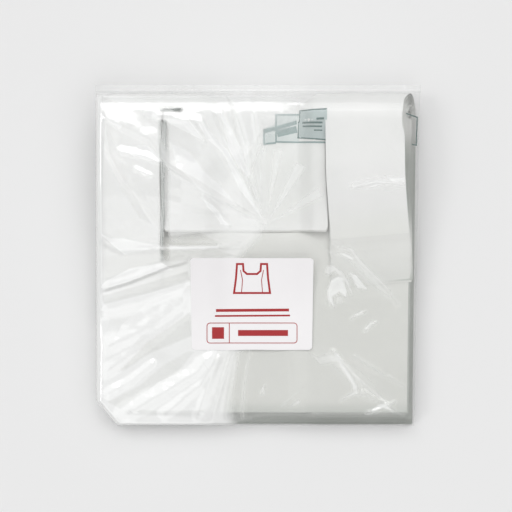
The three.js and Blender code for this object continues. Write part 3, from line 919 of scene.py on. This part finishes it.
def looseness_and_painted_light(x, y):
    """1 where the film stands off the bags and scatters more light, 0 where it lies on them. Painted
    highlights and painted shade are added on top.
    """
    px, py = on_photo(x, y)
    split = 262 - 22 * eased(py, 225, 262) + 6 * np.sin(py / 17)
    left_part = 0.78 * (1 - eased(px, split - 14, split + 4))
    foot_left = 0.5 * (1 - eased(px, 190, 250)) * eased(py, 262, 300)
    # The valleys are painted shade: the film is made clearer there.
    painted_valley_shade = (0.25 * soft_patch(px, py, (192, 239), (1, 0), 30, 7)
               + 0.15 * soft_patch(px, py, (148.8, 346.6), (0.8, 0.6), 55, 7))
    # A painted highlight on the film rolled at the foot's left, and painted highlights on the right.
    rolled = (1 - eased(px, 205, 250)) * eased(py, 415, 420)
    top_part = 0.6 * (1 - eased(py, 104, 150)) * (1 - eased(px, 262, 320))
    painted_highlights = (0.28 * soft_patch(px, py, (350, 372), (0.8, 0.6), 46, 9),
              0.3 * soft_patch(px, py, (366, 272), (0.72, 0.7), 40, 5))
    loose = np.maximum.reduce([left_part + foot_left - painted_valley_shade, rolled, top_part, *painted_highlights])
    for share, corners in PAINTED_LIGHT_FACETS:
        loose = loose + share * eased(facet_share(x, y, corners), -1.4, 1.6)
    # The left side wall is painted whiter, a painted light on a wall in shade.
    side = 1.3 * (1 - eased(px, 100, 106))
    loose = np.maximum(loose * eased(px, 96, 105), side)
    over_slit = 0.9 * np.exp(-(((px - 164.5) / 5) ** 4)) * eased(py, 106, 118) * (1 - eased(py, 245, 268))
    over_cut = 1.5 * np.exp(-(((px - 170) / 12) ** 4 + ((py - 110.5) / 3.5) ** 4))
    past_fold = eased(y, 116, 121)
    return np.clip((loose - over_slit - over_cut) * (1 - 0.9 * past_fold) - 0.35 * past_fold, -0.35, 1.6)


def film_front(x, y):
    loose = 1 - 0.93 * under_label(x, y)
    edge = eased(x, -119, -110) * (1 - eased(x, 106, 116)) * eased(y, -125, -120) * (1 - eased(y, 102, 112))
    crinkle = (0.16 * ripple(x, y, 14, 5) + 0.06 * ripple(x, y, 5.5, 6)) * (0.3 + 0.7 * looseness_and_painted_light(x, y))
    cx, cy = frame_place(*GATHERED_AT)
    gathered = eased(np.hypot(x - cx, y - cy), 1, 16)
    relief = (wrinkle_relief(x, y) * gathered + fan_relief(x, y) + crinkle) * loose * edge
    return film_under(x, y) + FILM_CLEAR + relief - 0.1 * edge * loose


FOLD_ROUND, MOUTH_START, MOUTH_BACK_Z, MOUTH_FRONT_Z = 20.75, 121.3, 20.45, 21.05
FOOT_START = -125.8
CORNER_WIDTH, CORNER_LENGTH, FOOT_TAPER = 16, 19, 4.2
LEFT_ROLL, RIGHT_ROLL = 5, 6
SIDE_COLUMNS, FRONT_COLUMNS, BACK_COLUMNS = 8, 250, 14


def front_profile(x, y, under):
    """The front film's height across the bag: rolled at the foot, flat at the mouth."""
    along = min(max((y - FOLD_CENTRE_Y) / FOLD_ROUND, 0), 1)
    fuller = max(0.0, 1 - along**2.8) ** (1 / 2.8)
    high = MOUTH_FRONT_Z + (film_front(x, np.full_like(x, y)) - MOUTH_FRONT_Z) * fuller
    full_at = -117.5 - 7.2 * (1 - eased(on_photo(x, y)[0], 232, 266))
    rise = np.sqrt(eased(y, FOOT_START, full_at))
    return under + np.maximum(0.25, (high - under) * rise)


def film_ring(y):
    """Once round the overwrap at y: along the back, up the right side, over the front, down the left."""
    left = -FILM_HALF_WIDTH + CORNER_WIDTH * max(0.0, (CORNER_LENGTH - FILM_HALF_LENGTH - y) / CORNER_LENGTH)
    right = FILM_HALF_WIDTH - FOOT_TAPER * (FILM_HALF_LENGTH - y) / (2 * FILM_HALF_LENGTH)
    along = min(max((y - FOLD_CENTRE_Y) / FOLD_ROUND, 0), 1)
    rounded = 0 if y > MOUTH_START else math.sqrt(max(0.0, 1 - along * along))
    under = MOUTH_BACK_Z * (1 - rounded)
    turn = np.linspace(0, math.pi / 2, SIDE_COLUMNS + 1)[:-1]
    back_x = np.linspace(left, right, BACK_COLUMNS)[:-1]
    right_x = right - RIGHT_ROLL * (1 - np.cos(turn))
    front_x = np.linspace(right - RIGHT_ROLL, left + LEFT_ROLL, FRONT_COLUMNS)
    left_x = left + LEFT_ROLL * (1 - np.cos(turn) ** 0.8)
    right_z = under + (front_profile(right_x, y, under) - under) * np.sin(turn) ** 0.8
    left_z = under + (front_profile(left_x, y, under) - under) * np.sin(turn) ** 0.7
    x = np.concatenate([back_x, right_x, front_x, left_x[::-1][:-1]])
    z = np.concatenate([np.full_like(back_x, under), right_z, front_profile(front_x, y, under),
                        left_z[::-1][:-1]])
    return np.column_stack([x, np.full(len(x), y), z])


def film_wrap():
    ys = np.concatenate([
        [-FILM_HALF_LENGTH], FOOT_START + np.array([0.2, 0.6, 1.4, 2.8, 5, 7, 9]),
        np.linspace(-115.6, FOLD_CENTRE_Y, 230)[1:],
        FOLD_CENTRE_Y + FOLD_ROUND * np.sin(np.linspace(0, math.pi / 2, 16))[1:], [123.5, FILM_HALF_LENGTH]])
    points = np.array([film_ring(y) for y in ys])
    count = points.shape[1]
    faces = []
    for r in range(len(ys) - 1):
        for c in range(count):
            a, b = r * count + c, r * count + (c + 1) % count
            faces.append((a, b, b + count, a + count))
    return points.reshape(-1, 3), faces


def clear_film():
    """Crisp film hardly shows where it lies on the bags, and is whiter where it stands off them and
    where painted highlights are marked, clearer where painted shade is. The lamps shine through it."""
    material, tree, surface = new_finish("Clear crisp film", 0.1)
    surface.inputs["IOR"].default_value = 2.3
    link = tree.links.new
    place = add_node(tree, "TexCoord")
    haze = add_node(tree, "TexNoise", Scale=14.0, Detail=3.0)
    crumple = add_node(tree, "TexNoise", Scale=120.0, Detail=2.0)
    # The loose mark carries painted highlights and painted shade as well as the film's haze.
    loose = add_node(tree, "Attribute")
    loose.attribute_name = "loose"
    cloud = math_node(tree, "MULTIPLY_ADD", 0.5)
    veil = add_node(tree, "MapRange", From_Min=0.1, From_Max=1.5, To_Min=0.06, To_Max=0.96)
    tint = colour_mix(tree, ink(255, 255, 255), ink(250, 252, 250))
    bump = add_node(tree, "Bump", Strength=0.25, Distance=0.001)
    rays, open_way = add_node(tree, "LightPath"), add_node(tree, "BsdfTransparent")
    let_lamps = add_node(tree, "MixShader")
    link(place.outputs["Object"], haze.inputs["Vector"])
    link(place.outputs["Object"], crumple.inputs["Vector"])
    link(haze.outputs["Fac"], cloud.inputs[0])
    link(loose.outputs["Fac"], cloud.inputs[2])
    link(cloud.outputs["Value"], veil.inputs["Value"])
    link(veil.outputs["Result"], surface.inputs["Alpha"])
    link(haze.outputs["Fac"], tint.inputs["Factor"])
    link(tint.outputs["Result"], surface.inputs["Base Color"])
    link(crumple.outputs["Fac"], bump.inputs["Height"])
    link(bump.outputs["Normal"], surface.inputs["Normal"])
    link(rays.outputs["Is Shadow Ray"], let_lamps.inputs["Fac"])
    link(surface.outputs["BSDF"], let_lamps.inputs[1])
    link(open_way.outputs["BSDF"], let_lamps.inputs[2])
    link(let_lamps.outputs["Shader"], tree.nodes["Material Output"].inputs["Surface"])
    return material


def standing_off_and_painted_light(x, y, z):
    """How loose the film is, with painted highlights along its crests, and less so down its side walls."""
    crest = np.clip(wrinkle_relief(x, y) - 0.2, 0, 1)
    crest = crest * (1 - np.exp(-(((x - 28) / 20) ** 4 + ((y - 50) / 38) ** 4)))
    film_top = film_front(np.clip(x, -113, 112), np.clip(y, -119, 108))
    return np.maximum(looseness_and_painted_light(x, y), 0.55 * crest) * eased(z / film_top, 0.5, 0.8)


film_wrapper = mesh_piece("film_overwrap", *film_wrap(), clear_film(), weld=False)
mark(film_wrapper, "loose", standing_off_and_painted_light)
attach(film_wrapper, "root")
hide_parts("overwrap_bag")

# The label: white coated paper stuck on the film, with rounded corners. It is stiffer than the
# film and keeps it flat.
LABEL_CORNER, LABEL_WIDENS, LABEL_ABOVE_FILM = 2, 0.5, 0.2


def label_top(x, y):
    return film_front(x, y) + LABEL_ABOVE_FILM


def label_sheet():
    rows, columns = 46, 60
    v = np.linspace(-1, 1, rows)[:, None]
    u = np.linspace(-1, 1, columns)[None, :]
    y = LABEL_Y + LABEL_HALF_HEIGHT * v
    near = np.clip(LABEL_CORNER - (LABEL_HALF_HEIGHT - np.abs(y - LABEL_Y)), 0, LABEL_CORNER)
    half = LABEL_HALF_WIDTH - (LABEL_CORNER - np.sqrt(LABEL_CORNER**2 - near**2)) + LABEL_WIDENS * v
    x = LABEL_X + half * u
    y = y + 0.25 * ripple(x, y * 0, 30, 3) * np.clip(-v, 0, 1) + 0 * x
    return np.stack([x, y, label_top(x, y)], -1).reshape(-1, 3), faces_of(rows, columns, 0)


paper = printed("White coated paper", ink(247, 245, 246), ink(243, 241, 242), 0.5, 60.0)
label_piece = shell(mesh_piece("label_sheet", *label_sheet(), paper), thickness=0.16)
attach(label_piece, "root")
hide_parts("label")

# The label's print in red ink: a plain picture of a carrier bag, two long bars, and a thin rounded
# frame in two parts with a bar in each.
red_ink = printed("Red ink", ink(163, 26, 32), ink(178, 40, 44), 0.4)


def rounded_frame(px0, py0, px1, py1, radius):
    line = []
    for cx, cy, start in ((px1 - radius, py0 + radius, 90), (px1 - radius, py1 - radius, 0),
                          (px0 + radius, py1 - radius, -90), (px0 + radius, py0 + radius, 180)):
        for i in range(5):
            turn = math.radians(start - 90 * i / 4)
            line.append(frame_place(cx + radius * math.cos(turn), cy - radius * math.sin(turn)))
    return line


def red_line(points, width, **how):
    return stroke(points, width, label_top, lift=0.12, **how)


picture = places(
    (237, 264), (243, 264), (243.5, 271), (247, 274), (257, 274), (260.5, 271), (261, 264), (267, 264),
    (268, 278), (270, 293), (234, 293), (236, 278))
print_parts = [
    red_line(picture, 1.5, closed=True, step=1.2),
    red_line(places((241.5, 293), (242.5, 280), (240.5, 270)), 0.6),
    red_line(places((262.5, 293), (261.5, 280), (263.5, 270)), 0.6),
    red_line(places((216, 310.5), (289, 310)), 2.1),
    red_line(places((215, 316), (290, 315.5)), 1.3),
    red_line(rounded_frame(207, 323, 297, 343, 3), 0.6, closed=True, step=1.0),
    red_line(places((229.3, 323), (229.3, 343)), 0.6),
    red_line(places((212, 333), (224, 333)), 8.6),
    red_line(places((238, 333), (288, 333)), 4.4),
]
label_print = mesh_piece("label_print", *joined(print_parts), red_ink, weld=False)
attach(label_print, "root")

# The studio: a plain pale table under a bright soft sky that is dim straight above, where the
# camera stands. The lamps are soft and stand high round the pack, the strongest towards the fold.
TABLE_Z, TABLE_REACH = -0.0004, 12
table_mesh = bpy.data.meshes.new("pale_table")
table_corners = [(x * TABLE_REACH, y * TABLE_REACH, TABLE_Z) for x, y in ((-1, -1), (1, -1), (1, 1), (-1, 1))]
table_mesh.from_pydata(table_corners, [], [(0, 1, 2, 3)])
pale_table = bpy.data.objects.new("pale_table", table_mesh)
bpy.context.scene.collection.objects.link(pale_table)
table_finish, _, table_surface = new_finish("Pale table", 0.9)
table_surface.inputs["Base Color"].default_value = ink(237, 237, 237)
table_surface.inputs["Specular IOR Level"].default_value = 0.0
table_mesh.materials.append(table_finish)

world = bpy.data.worlds.new("Studio")
bpy.context.scene.world = world
world.use_nodes = True
sky = world.node_tree
link = sky.links.new
room = sky.nodes["Background"]
backdrop = add_node(sky, "Background", Color=ink(234, 234, 234))
heading, upward = add_node(sky, "TexCoord"), add_node(sky, "SeparateXYZ")
overhead = add_node(sky, "MapRange", From_Min=0.35, From_Max=1.0, To_Min=0.22, To_Max=1.0)
opening = add_node(sky, "MapRange", From_Min=0.972, From_Max=0.99, To_Min=1.0, To_Max=0.35)
dimmed = math_node(sky, "MULTIPLY")
link(heading.outputs["Generated"], upward.inputs["Vector"])
for number, part in enumerate((overhead, opening)):
    part.interpolation_type = "SMOOTHSTEP"
    link(upward.outputs["Z"], part.inputs["Value"])
    link(part.outputs["Result"], dimmed.inputs[number])
link(dimmed.outputs["Value"], room.inputs["Color"])
rays, choose = add_node(sky, "LightPath"), add_node(sky, "MixShader")
link(rays.outputs["Is Camera Ray"], choose.inputs["Fac"])
link(room.outputs["Background"], choose.inputs[1])
link(backdrop.outputs["Background"], choose.inputs[2])
link(choose.outputs["Shader"], sky.nodes["World Output"].inputs["Surface"])


def lamp(name, strength, wide, azimuth, tilt):
    """A soft lamp far away. Azimuth is clockwise from the picture's top, tilt is from straight up."""
    light = bpy.data.lights.new(name, "SUN")
    light.energy = strength
    light.angle = math.radians(wide)
    holder = bpy.data.objects.new(name, light)
    bpy.context.scene.collection.objects.link(holder)
    a, t = math.radians(azimuth), math.radians(tilt)
    towards = Vector((math.sin(a) * math.sin(t), math.cos(a) * math.sin(t), math.cos(t)))
    holder.rotation_mode = "QUATERNION"
    holder.rotation_quaternion = towards.to_track_quat("Z", "Y")


lamp("Main softbox", 0.63, 36, 6, 32)
lamp("Top softbox", 0.26, 15, -24, 46)
lamp("Left softbox", 0.25, 15, -88, 40)
lamp("Right softbox", 0.15, 13, 40, 40)
lamp("Low fill", 0.19, 45, 186, 46)

# The camera looks straight down. A pixel is worth PX at the height MEASURED_AT, about half the
# pack's thickness up.
CAMERA_HEIGHT, MEASURED_AT, SENSOR, PHOTO_SIZE = 3.0, 0.02, 36, 512
camera = bpy.data.cameras.new("Camera")
camera.sensor_width = SENSOR
camera.lens = SENSOR * (CAMERA_HEIGHT - MEASURED_AT) / (PHOTO_SIZE * PX * 0.001)
camera.clip_start, camera.clip_end = 0.5, 60
camera_holder = bpy.data.objects.new("Camera", camera)
bpy.context.scene.collection.objects.link(camera_holder)
camera_holder.location = (-0.0015, 0, CAMERA_HEIGHT)
bpy.context.scene.camera = camera_holder
bpy.context.scene.view_settings.view_transform = "Standard"
